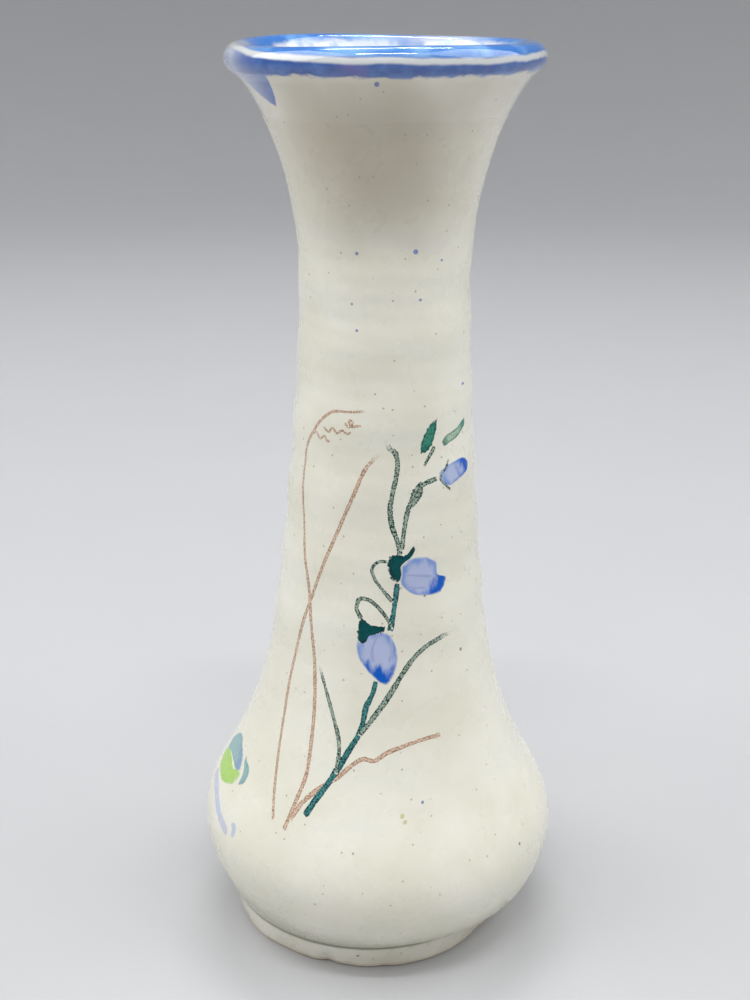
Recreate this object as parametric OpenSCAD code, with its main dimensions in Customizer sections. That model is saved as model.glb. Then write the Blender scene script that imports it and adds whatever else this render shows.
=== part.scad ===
// Hand-thrown ceramic bud vase: a bulb that draws in to a slender neck and opens to a flared lip.
// It stands at the origin on its foot ring, +Z up, and -Y is the side with the painted flowers.
// Every clay and glaze shape is turned about Z. The painting is drawn on a flat front elevation,
// in mm from the axis and mm above the table, and carried onto the curved wall.

/* [Overall] */
// Height from the table to the top of the lip
height = 180; // [172:1:190]
// Height of the narrowest place of the neck
neck_z = 138; // [128:1:142]
// Height of the fullest place of the belly
belly_z = 22; // [20:1:24]

/* [Outside diameters] */
// Widest place of the belly
belly_d = 74; // [68:1:84]
// Shoulder, where the belly turns into the neck
shoulder_d = 45.5; // [42:0.5:50]
// Narrowest place of the neck
neck_d = 32.7; // [30:0.1:38]
// Outermost edge of the lip
lip_d = 58; // [54:1:64]
// Foot ring at the table
foot_d = 57.4; // [54:0.2:60]
// Foot ring where it meets the underside of the belly
crease_d = 60; // [58:0.5:63]

/* [Clay] */
// Height of the foot ring
foot_h = 5.8; // [4.5:0.1:8]
// Width of the ring that stands on the table
foot_w = 6; // [4:0.5:8]
// Thickness of the floor inside the vase
floor_t = 6; // [4:0.5:8]
// Thickness of the wall at the neck
neck_wall = 4.4; // [3:0.1:5]
// Thickness of the wall at the belly
belly_wall = 5; // [4:0.5:7]
// Thickness of the rounded lip
lip_t = 5.4; // [4:0.1:6]

/* [Glaze and colour] */
// Thickness of the fired glaze
glaze_t = 0.4; // [0.3:0.05:0.6]
// Thickness of the painted colours over the glaze
paint_t = 0.1; // [0.1:0.05:0.3]
// Height of the blue band, measured down from the top of the lip
band_h = 5; // [4:0.5:8]
// Depth of bare clay left at the bottom of the foot ring
bare_h = 1.2; // [0.8:0.1:2]
// Width of a pencil line
pencil_w = 0.9; // [0.6:0.1:1.4]

/* [Hidden] */

// Facets of a turned shape, and points along a curve, the lip's rounding and a stroke
turn_fn = 96;
curve_steps = 12;
belly_steps = 8;
arc_steps = 6;
stroke_steps = 5;
// Rounding at the bottom of the foot ring
foot_round = 0.8;
// Height where the shoulder is measured
shoulder_z = 60;
// Slope of the shoulder and of the flare just under the lip: mm outwards for each mm of height
shoulder_slope = -0.22;
flare_slope = 1.9;
// Rise of the inside of the belly above the outside's fullest place
belly_in_rise = 2;
// Way the flower on the side of the belly faces, in degrees about Z from the front
side_facing = -75;
// Distance from the axis to which a drawing is carried, past every wall
reach = 60;

// How far each curve keeps the direction that it starts or ends with
foot_to_belly = belly_z - foot_h;
belly_to_shoulder = shoulder_z - belly_z;
shoulder_to_neck = neck_z - shoulder_z;
neck_to_lip = height - neck_z;
crease_hold = 0.18 * foot_to_belly * [1, 1];
belly_hold_down = 0.43 * foot_to_belly;
belly_hold_up = 0.24 * belly_to_shoulder;
shoulder_hold_down = 0.66 * belly_to_shoulder;
shoulder_hold_up = shoulder_to_neck / 6;
neck_hold_down = 0.28 * shoulder_to_neck;
neck_hold_up = 0.49 * neck_to_lip;
lip_hold = 3;
floor_hold = 9;

// ---- plane geometry ----

function unit(v) = v / norm(v);

// Points of a cubic curve from a to d, without d itself.
function bezier(a, b, c, d, steps = curve_steps) =
    [for (i = [0:steps - 1])
        let (t = i / steps, s = 1 - t)
            s * s * s * a + 3 * s * s * t * b + 3 * s * t * t * c + t * t * t * d];

// Points of an arc, without its last one.
function arc(centre, r, from, to, steps = arc_steps) =
    [for (i = [0:steps - 1])
        let (a = from + (to - from) * i / steps)
            centre + r * [cos(a), sin(a)]];

function reversed(list) = [for (i = [len(list) - 1:-1:0]) list[i]];

// Direction along a line of points at point i.
function heading(line, i) = unit(line[min(i + 1, len(line) - 1)] - line[max(i - 1, 0)]);

// The line of points moved sideways by d, to the left of its direction of travel.
function beside(line, d) =
    [for (i = [0:len(line) - 1])
        let (h = heading(line, i))
            line[i] + d * [-h[1], h[0]]];

// ---- outlines of the turned shapes, as [radius, height] ----

lip_r = lip_t / 2;
lip_centre = [lip_d / 2 - lip_r, height - lip_r];
lip_from = -atan(flare_slope);
flare_way = unit([flare_slope, 1]);
shoulder_way = unit([shoulder_slope, 1]);

foot_side = [[foot_d / 2 + (crease_d - foot_d) / 2 * bare_h / foot_h, bare_h]];
belly = [belly_d / 2, belly_z];
shoulder = [shoulder_d / 2, shoulder_z];
neck = [neck_d / 2, neck_z];
lip_outside = lip_centre + lip_r * [cos(lip_from), sin(lip_from)];
crease = [crease_d / 2, foot_h];

// The glazed outside, from the foot ring up to where the lip's rounding starts.
outside = concat(
    foot_side,
    bezier(crease, crease + crease_hold, belly - [0, belly_hold_down], belly, belly_steps),
    bezier(belly, belly + [0, belly_hold_up], shoulder - shoulder_hold_down * shoulder_way, shoulder),
    bezier(shoulder, shoulder + shoulder_hold_up * shoulder_way, neck - [0, neck_hold_down], neck),
    bezier(neck, neck + [0, neck_hold_up], lip_outside - lip_hold * flare_way, lip_outside));

// The inside, from the lip down to the middle of the floor.
floor_z = foot_h + floor_t;
lip_inside = 2 * lip_centre - lip_outside;
neck_in = neck - [neck_wall, 0];
shoulder_in = shoulder - [(neck_wall + belly_wall) / 2, 0];
belly_in = belly + [-belly_wall, belly_in_rise];
belly_in_hold = 0.58 * (belly_in[1] - floor_z);
floor_edge = [belly_in[0] / 2, floor_z];
inside = concat(
    bezier(lip_inside, lip_inside - lip_hold * flare_way, neck_in + [0, neck_hold_up], neck_in),
    bezier(neck_in, neck_in - [0, neck_hold_down],
        shoulder_in + shoulder_hold_up * shoulder_way, shoulder_in),
    bezier(shoulder_in, shoulder_in - shoulder_hold_down * shoulder_way,
        belly_in + [0, belly_hold_up], belly_in),
    bezier(belly_in, belly_in - [0, belly_in_hold], floor_edge + [floor_hold, 0], floor_edge, belly_steps),
    [floor_edge, [0, floor_z]]);

// One line round the whole glazed surface: up the outside, over the lip and down the inside.
crown = concat(
    arc(lip_centre, lip_r, lip_from, 90),
    arc(lip_centre, lip_r, 90, lip_from + 180));
surface = concat(outside, crown, inside);
clay_line = [for (p = beside(surface, glaze_t)) [max(p[0], 0), p[1]]];
clay_crease = clay_line[1];

// The blue band starts and ends at the first points above its lower edge.
above_band = [for (i = [0:len(surface) - 1]) if (surface[i][1] > height - band_h) i];
band_from = above_band[0];
band_to = above_band[len(above_band) - 1];

module turned(outline) {
    rotate_extrude($fn = turn_fn) polygon(outline);
}

// The glaze over the stretch of surface from point a to point b.
module coat(a, b) {
    turned(concat([for (i = [a:b]) surface[i]], [for (i = [b:-1:a]) clay_line[i]]));
}

// ---- clay ----

module clay_body() {
    above_foot = [for (i = [1:len(clay_line) - 1]) clay_line[i]];
    color("wheat") turned(concat([[0, clay_crease[1]]], above_foot));
}

module foot_ring() {
    inner_r = foot_d / 2 - foot_w;
    bottom_r = foot_d / 2 - foot_round;
    color("tan") turned([
        [inner_r, clay_crease[1]],
        [inner_r + foot_round, 0],
        [bottom_r, 0],
        [foot_side[0][0] - glaze_t, foot_round],
        clay_line[0],
        clay_crease]);
}

// ---- glaze ----

module outer_glaze() {
    color("ivory") coat(0, band_from);
}

module rim_glaze() {
    color("royalblue") coat(band_from, band_to);
}

module liner_glaze() {
    color("ivory") coat(band_to, len(surface) - 1);
}

// ---- painting ----

// A smooth line through hand-placed points.
function through(points) =
    let (last = len(points) - 1)
    concat([for (i = [0:last - 1])
        let (a = points[max(i - 1, 0)], b = points[i], c = points[i + 1], d = points[min(i + 2, last)])
            for (p = bezier(b, b + (c - a) / 6, c - (d - b) / 6, c, stroke_steps)) p],
        [points[last]]);

// A stroke that swells from pointed ends to its full width in the middle.
module stroke(points, width = pencil_w) {
    line = through(points);
    n = len(line) - 1;
    swell = [for (i = [0:n]) width / 2 * (0.35 + 0.65 * sin(180 * i / n))];
    left = [for (i = [0:n]) beside(line, swell[i])[i]];
    right = [for (i = [0:n]) beside(line, -swell[i])[i]];
    polygon(concat(left, reversed(right)));
}

// A brushed shape: the hand-placed points joined by a smooth closed line.
module patch(points) {
    n = len(points);
    polygon([for (i = [0:n - 1])
        let (a = points[(i + n - 1) % n], b = points[i], c = points[(i + 1) % n], d = points[(i + 2) % n])
            for (p = bezier(b, b + (c - a) / 6, c - (d - b) / 6, c, stroke_steps)) p]);
}

// The film of colour that a flat drawing leaves on the wall, facing the given way round the vase.
module painted(facing = 0) {
    painted_wall = [for (p = outside) if (p[1] > belly_z && p[1] < neck_z) p];
    intersection() {
        turned(concat(painted_wall, reversed(beside(painted_wall, -paint_t))));
        rotate([0, 0, facing]) rotate([90, 0, 0]) linear_extrude(reach) children();
    }
}

// ---- the drawings, on the front elevation ----

module grass_drawing() {
    stroke([[-3.5, 115.6], [-10, 114.8], [-13, 110.5], [-15, 104], [-15.5, 96], [-15, 86], [-14.5, 76],
            [-14, 64], [-14, 54], [-15, 44], [-17, 37], [-19, 32.5]]);
    stroke([[-1, 108], [-4.5, 103], [-8, 94], [-12, 84], [-15, 73], [-18, 60], [-20.5, 47], [-21, 34]]);
    stroke([[-18.5, 34], [-13, 41.5], [-6, 46], [0, 48], [8, 50.5], [12.5, 51.3]]);
}

module stem_drawing() {
    stroke([[-15.5, 36], [-10, 43], [-6, 49.5], [-3.5, 56], [-1.8, 63]], 1.1);
    stroke([[-8.5, 45], [-8.5, 52], [-11, 59], [-13, 64.5]]);
    stroke([[-4, 53], [1.5, 60.5], [6, 66.5], [13, 71.5]], 1.1);
    stroke([[0, 73], [2, 82], [2.8, 88], [1, 94], [1.6, 102], [0.5, 108.5]]);
    stroke([[2.6, 88], [4.3, 96], [6.5, 101], [10.5, 102.2]]);
}

module calyx_drawing() {
    patch([[-4.2, 75], [-1, 75.4], [0.6, 73.6], [-2.8, 71.4], [-4.8, 72.4]]);
    patch([[0.2, 87], [2.5, 88.3], [5, 89.2], [3.8, 86.6], [3.2, 82.2], [1.2, 83]]);
}

module leaf_drawing() {
    patch([[9.5, 114], [7.2, 111], [6.3, 107], [9, 109]]);
    patch([[14.2, 112], [12, 110.5], [10, 108.4], [12.8, 109.4]]);
}

module petal_drawing() {
    patch([[-4.6, 71], [-4.4, 65.5], [-1.5, 62.4], [1.5, 63], [2.7, 68], [1.5, 72.6], [-2, 73]]);
    patch([[3, 86.6], [7.5, 87.8], [10, 86.5], [10.8, 82.5], [9.8, 79.6], [5.5, 79.4], [3, 82]]);
    patch([[10, 101.6], [13.4, 104.2], [15, 103.6], [14, 100.8], [11.2, 99.8]]);
}

// The flower on the side of the belly, drawn as seen from that side.

module side_calyx_drawing() {
    patch([[-6, 41], [-2, 39.5], [3, 38], [3.5, 36.4], [-1, 37], [-5.5, 39]]);
}

module side_leaf_drawing() {
    patch([[-9, 35], [-4, 35.6], [0, 35.3], [4, 35.4], [0, 33.4], [-6, 33]]);
}

module side_stroke_drawing() {
    stroke([[-3, 32.5], [3, 30], [9, 28]], 1.6);
}

// ---- the painted films: where two drawings cross, the darker colour is on top ----

module brown_grass() {
    color("rosybrown") painted() difference() {
        grass_drawing();
        stem_drawing();
    }
}

module green_stems() {
    color("darkslategray") painted() difference() {
        stem_drawing();
        calyx_drawing();
        petal_drawing();
    }
}

module teal_calyxes() {
    color("teal") painted() calyx_drawing();
    color("teal") painted() leaf_drawing();
    color("teal") painted(side_facing) side_calyx_drawing();
}

module blue_petals() {
    color("cornflowerblue") painted() difference() {
        petal_drawing();
        calyx_drawing();
    }
}

module violet_strokes() {
    color("thistle") painted(side_facing) side_stroke_drawing();
}

module lime_leaf() {
    color("yellowgreen") painted(side_facing) side_leaf_drawing();
}

clay_body();
foot_ring();
outer_glaze();
liner_glaze();
rim_glaze();
brown_grass();
green_stems();
teal_calyxes();
blue_petals();
violet_strokes();
lime_leaf();
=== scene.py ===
"""The looks of the ceramic bud vase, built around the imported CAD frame.

Lengths are in metres, unless a name says mm. Azimuth 0 faces the viewer, -Y, and grows towards +X.
"""

import math

import bmesh
import bpy
import numpy as np
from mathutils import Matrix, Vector


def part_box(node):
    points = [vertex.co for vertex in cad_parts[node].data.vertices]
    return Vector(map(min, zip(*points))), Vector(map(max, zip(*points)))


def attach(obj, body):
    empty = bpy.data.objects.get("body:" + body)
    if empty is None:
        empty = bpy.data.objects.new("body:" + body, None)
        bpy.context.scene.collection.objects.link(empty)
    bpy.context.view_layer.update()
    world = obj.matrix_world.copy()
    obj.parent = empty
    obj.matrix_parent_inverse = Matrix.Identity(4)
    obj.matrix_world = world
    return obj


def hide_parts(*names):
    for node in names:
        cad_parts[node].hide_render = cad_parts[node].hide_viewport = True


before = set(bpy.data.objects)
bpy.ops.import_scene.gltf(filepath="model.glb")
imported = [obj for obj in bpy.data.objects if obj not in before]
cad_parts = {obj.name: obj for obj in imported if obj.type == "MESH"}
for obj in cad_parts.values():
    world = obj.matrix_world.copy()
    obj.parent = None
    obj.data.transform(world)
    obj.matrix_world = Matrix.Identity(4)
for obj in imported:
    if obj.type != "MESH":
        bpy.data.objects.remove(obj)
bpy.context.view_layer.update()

MM = 0.001
ROOT = "root"
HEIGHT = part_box("rim_glaze")[1][2]
CLAY_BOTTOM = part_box("clay_body")[0][2]
GLAZE = 0.4 * MM
# Spacing of the points on a finely drawn outline
FINE = 0.2 * MM
# Closest that two different points of the outline come
SAME_POINT = 0.05 * MM


# ---- lines of points ----

# Points of a smooth curve from each given point to the next
CURVE_POINTS = 16


def resampled(line, step):
    """The line again, with points evenly spaced about step apart."""
    line = np.asarray(line, float)
    run = np.r_[0, np.cumsum(np.linalg.norm(np.diff(line, axis=0), axis=1))]
    at = np.linspace(0, run[-1], max(2, round(run[-1] / step) + 1))
    return np.stack([np.interp(at, run, column) for column in line.T], axis=1)


def smooth_line(points, step):
    """Evenly spaced points on the smooth curve through the given ones."""
    p = np.asarray(points, float)
    gap = np.linalg.norm(np.diff(p, axis=0), axis=1)[:, None]
    slope = np.diff(p, axis=0) / gap
    inner = (slope[:-1] * gap[1:] + slope[1:] * gap[:-1]) / (gap[1:] + gap[:-1])
    tangent = np.vstack([slope[:1], inner, slope[-1:]])
    t = np.linspace(0, 1, CURVE_POINTS, endpoint=False)[:, None]
    pieces = [
        (2 * t**3 - 3 * t**2 + 1) * p[i] + (3 * t**2 - 2 * t**3) * p[i + 1]
        + gap[i] * ((t**3 - 2 * t**2 + t) * tangent[i] + (t**3 - t**2) * tangent[i + 1])
        for i in range(len(gap))]
    return resampled(np.vstack([*pieces, p[-1:]]), step)


def normals(line):
    """Unit normals on the right-hand side of a line of (radius, height) points."""
    way = np.gradient(line, axis=0)
    way /= np.linalg.norm(way, axis=1)[:, None]
    return np.stack([way[:, 1], -way[:, 0]], axis=1)


def ease(value, low, high):
    """0 below low, 1 above high, and smooth between."""
    t = np.clip((np.asarray(value, float) - low) / (high - low), 0, 1)
    return t * t * (3 - 2 * t)


# ---- the vase's outline, read from the CAD nodes ----

def profile_points(*nodes):
    """The (radius, height) of every vertex of turned CAD nodes, each once."""
    co = np.array([v.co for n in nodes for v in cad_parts[n].data.vertices])
    return np.unique(np.round(np.c_[np.hypot(co[:, 0], co[:, 1]), co[:, 2]], 5), axis=0)


def glazed_points(node, clay):
    """The profile points on a coat's glazed side, which are those that the clay doesn't share."""
    points = profile_points(node)
    apart = np.linalg.norm(points[:, None] - clay[None], axis=2).min(axis=1)
    return points[apart > GLAZE / 2]


def without_repeats(points):
    """The points in their order, each once."""
    kept = [points[0]]
    for p in points[1:]:
        if np.linalg.norm(p - kept[-1]) > SAME_POINT:
            kept.append(p)
    return np.array(kept)


def from_foot_up(points):
    """The outside's points in order of height. Of the foot's straight side, only its two ends."""
    on_side = (points[:, 1] > points[:, 1].min()) & (points[:, 1] < CLAY_BOTTOM - GLAZE)
    kept = points[~on_side]
    return kept[np.argsort(kept[:, 1])]


CLAY = profile_points("clay_body", "foot_ring")
OUTER = from_foot_up(glazed_points("outer_glaze", CLAY))
RIM = glazed_points("rim_glaze", CLAY)
INNER = glazed_points("liner_glaze", CLAY)
# The lip is rounded about the radius of its top and the height of its outermost edge
EDGE_Z = RIM[RIM[:, 0].argmax(), 1]
CROWN_R = RIM[RIM[:, 1].argmax(), 0]
OVER_LIP = np.argsort(np.arctan2(RIM[:, 1] - EDGE_Z, RIM[:, 0] - CROWN_R))
DOWN_INSIDE = np.lexsort((-INNER[:, 0], -INNER[:, 1]))
CORNERS = without_repeats(np.vstack([OUTER, RIM[OVER_LIP], INNER[DOWN_INSIDE]]))
FOOT_R = CORNERS[0][0]
FOOT_TOP = CORNERS[1][1]

# One line round the glazed surface, up the outside and down the inside, with a corner at the foot's top
SURFACE = np.vstack([resampled(CORNERS[:2], FINE)[:-1], smooth_line(CORNERS[1:], FINE)])
SURFACE[:, 0] = np.maximum(SURFACE[:, 0], 0)
CROWN_AT = int(SURFACE[:, 1].argmax())
OUTSIDE = SURFACE[:CROWN_AT + 1]
OUT_NORMALS = normals(OUTSIDE)
OUT_RUN = np.r_[0, np.cumsum(np.linalg.norm(np.diff(OUTSIDE, axis=0), axis=1))]


# ---- how the hand-thrown vase departs from a true turned shape ----

# The wave that the fingers left up the neck, and the finer throwing rings
SPIRAL_PITCH, SPIRAL_DEPTH, SPIRAL_TOP = 13.5 * MM, 0.14 * MM, 130.1 * MM
RING_PITCH, RING_DEPTH = 4.1 * MM, 0.025 * MM
NECK_FROM, NECK_TO = 40 * MM, 90 * MM
FLARE_FROM, FLARE_TO, FLARE_SMOOTHED = 134 * MM, 150 * MM, 0.65
# How far the pot is out of round, and the waves of its lip
OVAL_DEPTH = 0.12 * MM
LIP_WAVE, LIP_DROP, LIP_FROM = 0.22 * MM, 0.35 * MM, 160 * MM
# How far to the right the pot stands low down, and what its lean adds to that on the way up
LEAN_LOW, LEAN_GAIN, LEAN_FROM, LEAN_TO = -0.5 * MM, 1.3 * MM, 20 * MM, 150 * MM
# How far the foot sits off the middle of the belly, up to what height
FOOT_ASIDE, FOOT_BACK, FOOT_FADES = -1.8 * MM, 0.8 * MM, 10 * MM
# Fall of the belly towards the right: m down for each m to the right
BELLY_TILT, TILT_FULL, TILT_FROM, TILT_TO = 0.020, 12 * MM, 40 * MM, 80 * MM
# The knife's long flats and short waves on the foot, in mm
FOOT_FLATS_MM, FOOT_WAVES_MM = 0.24, 0.24
# Nicks in the foot's edge: azimuth, depth in mm, and width in azimuth
FOOT_NICKS = (
    (-0.30, 0.75, 0.05), (0.95, 0.55, 0.10), (0.10, 0.45, 0.07), (2.30, 0.60, 0.06), (-2.10, 0.50, 0.09))


def foot_cut(azimuth):
    """How far the knife-trimmed foot stands off a true circle."""
    flats = FOOT_FLATS_MM * np.sin(5 * azimuth + 0.3)
    waves = FOOT_WAVES_MM * np.abs(np.sin(6.5 * azimuth + 1.1))
    off = flats + waves - FOOT_WAVES_MM / 2
    for place, depth, width in FOOT_NICKS:
        apart = (azimuth + np.pi - place) % (2 * np.pi) - np.pi
        off = off - depth * np.exp(-apart ** 2 / width**2)
    return off * MM


def settled(radius, height, azimuth):
    """Where a point of the turned shape lies on the real, hand-thrown one."""
    on_neck = ease(height, NECK_FROM, NECK_TO) * (1 - FLARE_SMOOTHED * ease(height, FLARE_FROM, FLARE_TO))
    spiral = np.cos(2 * np.pi * (height - SPIRAL_TOP) / SPIRAL_PITCH - azimuth + np.pi / 2)
    rings = np.sin(2 * np.pi * height / RING_PITCH + 1.5 * np.sin(azimuth) + 40 * height / HEIGHT)
    oval = OVAL_DEPTH * np.sin(2 * azimuth + 0.7 + 9 * height / HEIGHT) * ease(height, 8 * MM, 30 * MM)
    wall = radius + (radius > MM) * (on_neck * (SPIRAL_DEPTH * spiral + RING_DEPTH * rings) + oval)
    wall = wall + foot_cut(azimuth) * (1 - ease(height, 0, FOOT_TOP)) * (radius > 0.5 * FOOT_R)
    on_foot = 1 - ease(height, FOOT_TOP, FOOT_FADES)
    aside = LEAN_GAIN * ease(height, LEAN_FROM, LEAN_TO) + LEAN_LOW + FOOT_ASIDE * on_foot
    on_belly = ease(height, FOOT_TOP, TILT_FULL) * (1 - ease(height, TILT_FROM, TILT_TO))
    waves = LIP_WAVE * (np.sin(2 * azimuth + 0.4) + 0.6 * np.sin(3 * azimuth + 2)) - LIP_DROP
    x = wall * np.sin(azimuth)
    y = FOOT_BACK * on_foot - wall * np.cos(azimuth)
    z = height + waves * ease(height, LIP_FROM, HEIGHT) - BELLY_TILT * x * on_belly
    return np.stack(np.broadcast_arrays(x + aside, y, z), axis=-1)


def on_wall(azimuth, run, lift):
    """A point on the outside, at an azimuth and a length along the outline from the foot, raised by lift."""
    r = np.interp(run, OUT_RUN, OUTSIDE[:, 0]) + lift * np.interp(run, OUT_RUN, OUT_NORMALS[:, 0])
    z = np.interp(run, OUT_RUN, OUTSIDE[:, 1]) + lift * np.interp(run, OUT_RUN, OUT_NORMALS[:, 1])
    return settled(r, z, azimuth)


# ---- meshes ----

SHARP_FROM = math.radians(50)


def make_piece(name, vertices, faces, material, replaced=(), layers=None):
    """A piece that rides on the vase. Each layer is a value for every vertex, which its material reads."""
    mesh = bpy.data.meshes.new(name)
    mesh.from_pydata([tuple(v) for v in vertices], [], [tuple(f) for f in faces])
    for layer, values in (layers or {}).items():
        mesh.attributes.new(layer, "FLOAT", "POINT").data.foreach_set("value", np.asarray(values, np.float32))
    bm = bmesh.new()
    bm.from_mesh(mesh)
    bmesh.ops.recalc_face_normals(bm, faces=bm.faces)
    bm.to_mesh(mesh)
    bm.free()
    mesh.shade_smooth()
    mesh.set_sharp_from_angle(angle=SHARP_FROM)
    mesh.materials.append(material)
    piece = bpy.data.objects.new(name, mesh)
    bpy.context.scene.collection.objects.link(piece)
    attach(piece, ROOT)
    if replaced:
        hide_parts(*replaced)
    return piece


# Segments of a turned piece
SEGMENTS = 240


def swelling(azimuth, at, width):
    """1 at one azimuth, fading to 0 over a width on both sides. Both are in degrees."""
    apart = (np.degrees(azimuth) - at + 180) % 360 - 180
    return np.exp(-(apart / width) ** 2)


def turned(name, loop, material, replaced, layers=None):
    """A closed piece turned from a closed loop of (radius, height) points.

    A point on the axis becomes a pole. Each layer is a function that gives the values of one point of the
    loop, by its number, at an array of azimuths.
    """
    azimuth = np.linspace(0, 2 * np.pi, SEGMENTS, endpoint=False)
    vertices, rows = [], []
    values = {layer: [] for layer in layers or {}}
    for i, (r, z) in enumerate(loop):
        around = azimuth if r > FINE else azimuth[:1]
        rows.append(range(len(vertices), len(vertices) + len(around)))
        vertices.extend(settled(np.full(len(around), r), np.full(len(around), z), around))
        for layer, value in (layers or {}).items():
            values[layer].extend(value(i, around))
    faces = []
    for i, row in enumerate(rows):
        above = rows[(i + 1) % len(rows)]
        for j in range(SEGMENTS):
            k = (j + 1) % SEGMENTS
            if len(row) > 1 and len(above) > 1:
                faces.append((row[j], row[k], above[k], above[j]))
            elif len(row) > 1:
                faces.append((row[j], row[k], above[0]))
            elif len(above) > 1:
                faces.append((row[0], above[k], above[j]))
    return make_piece(name, vertices, faces, material, replaced, values)


def inset(line, depth):
    """The line moved into the wall by depth, never past the axis."""
    moved = line - depth * normals(line)
    moved[:, 0] = np.maximum(moved[:, 0], 0)
    return moved


# ---- materials ----

GLASS_IOR, COAT_ROUGHNESS = 1.5, 0.05


class Shader:
    """A material's node tree, with short calls for the nodes that the glazes need."""

    def __init__(self, name):
        self.material = bpy.data.materials.new(name)
        self.material.use_nodes = True
        self.tree = self.material.node_tree
        self.tree.nodes.clear()
        self.place = self.node("ShaderNodeTexCoord").outputs["Object"]

    def node(self, kind, settings=None, **inputs):
        made = self.tree.nodes.new(kind)
        for key, value in (settings or {}).items():
            setattr(made, key, value)
        for key, value in inputs.items():
            socket = made.inputs[int(key[1:])] if key[0] == "_" else made.inputs[key.replace("_", " ")]
            if isinstance(value, bpy.types.NodeSocket):
                self.tree.links.new(value, socket)
            else:
                socket.default_value = value
        return made

    def math(self, operation, a, b=0.0):
        return self.node("ShaderNodeMath", {"operation": operation}, _0=a, _1=b).outputs[0]

    def times(self, a, b):
        return self.math("MULTIPLY", a, b)

    def plus(self, a, b):
        return self.math("ADD", a, b)

    def about_zero(self, noise, reach):
        """Noise that swings about 0 instead of about a half, times a reach."""
        return self.times(self.math("SUBTRACT", noise, 0.5), reach)

    def noise(self, size_mm, detail=2.0, stretch=(1, 1, 1), shift=0.0):
        """Soft noise from 0 to 1 whose features are about size_mm across."""
        moved = self.node("ShaderNodeMapping", Vector=self.place, Scale=stretch, Location=(shift,) * 3)
        made = self.node("ShaderNodeTexNoise", Vector=moved.outputs[0], Scale=1000 / size_mm, Detail=detail)
        return made.outputs[0]

    def spots(self, spacing_mm, size_mm, share):
        """1 inside small round spots, 0 elsewhere. A share of the cells has one."""
        cells = self.node("ShaderNodeTexVoronoi", Vector=self.place, Scale=1000 / spacing_mm)
        near = self.rise(cells.outputs["Distance"], 1.3 * size_mm / spacing_mm, 0.7 * size_mm / spacing_mm)
        pick = self.node("ShaderNodeSeparateColor", Color=cells.outputs["Color"]).outputs[0]
        return self.times(near, self.math("LESS_THAN", pick, share))

    def rise(self, value, low, high):
        """0 at low, 1 at high, smooth between. Low may be the larger."""
        made = self.node("ShaderNodeMapRange", {"interpolation_type": "SMOOTHSTEP"}, Value=value)
        made.inputs["From Min"].default_value = low
        made.inputs["From Max"].default_value = high
        return made.outputs[0]

    def mix(self, share, a, b):
        made = self.node("ShaderNodeMix", {"data_type": "RGBA"}, _0=share)
        for index, value in ((6, a), (7, b)):
            if isinstance(value, bpy.types.NodeSocket):
                self.tree.links.new(value, made.inputs[index])
            else:
                made.inputs[index].default_value = (*value, 1)
        return made.outputs[2]

    def layer(self, name):
        return self.node("ShaderNodeAttribute", {"attribute_name": name}).outputs["Fac"]

    def axis(self, index):
        return self.node("ShaderNodeSeparateXYZ", Vector=self.place).outputs[index]

    def axis_mm(self, index):
        return self.times(self.axis(index), 1 / MM)

    def finish(self, colour, roughness, height=None, relief_mm=0.05, coat=0.0, specular=0.5):
        """The surface itself. A height of 0 to 1 gives it a relief, and coat is a clear one over it."""
        surface = self.node("ShaderNodeBsdfPrincipled", Base_Color=colour, Roughness=roughness)
        surface.inputs["IOR"].default_value = GLASS_IOR
        surface.inputs["Specular IOR Level"].default_value = specular
        surface.inputs["Coat Weight"].default_value = coat
        surface.inputs["Coat Roughness"].default_value = COAT_ROUGHNESS
        if height is not None:
            bump = self.node("ShaderNodeBump", Height=height, Distance=relief_mm * MM)
            self.tree.links.new(bump.outputs[0], surface.inputs["Normal"])
        output = self.node("ShaderNodeOutputMaterial", Surface=surface.outputs[0])
        output.is_active_output = True
        return self.material


CREAM, CREAM_DEEP, CREAM_COOL = (0.80, 0.78, 0.68), (0.74, 0.72, 0.60), (0.72, 0.72, 0.67)
# Painted shade under the lip: browner all round, and darker still at the front
CREAM_FLARE_SHADE, CREAM_FRONT_SHADE = (0.50, 0.44, 0.33), (0.36, 0.31, 0.22)
FRECKLE, IRON_SPOT = (0.34, 0.28, 0.17), (0.13, 0.13, 0.14)
# Glaze gathered above the foot and pooled in the crease, both darkened with painted shade; and glaze thinned
# at the foot's edge
CREAM_GATHERED_SHADED, CREAM_POOLED_SHADOW, CREAM_THIN = (0.42, 0.41, 0.30), (0.17, 0.17, 0.12), (0.68, 0.60, 0.48)
# Roughness of the gloss, and of the blue over the lip, from its smoothest to its dullest places
GLOSS, LIP_GLOSS = (0.22, 0.34), (0.06, 0.12)


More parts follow.
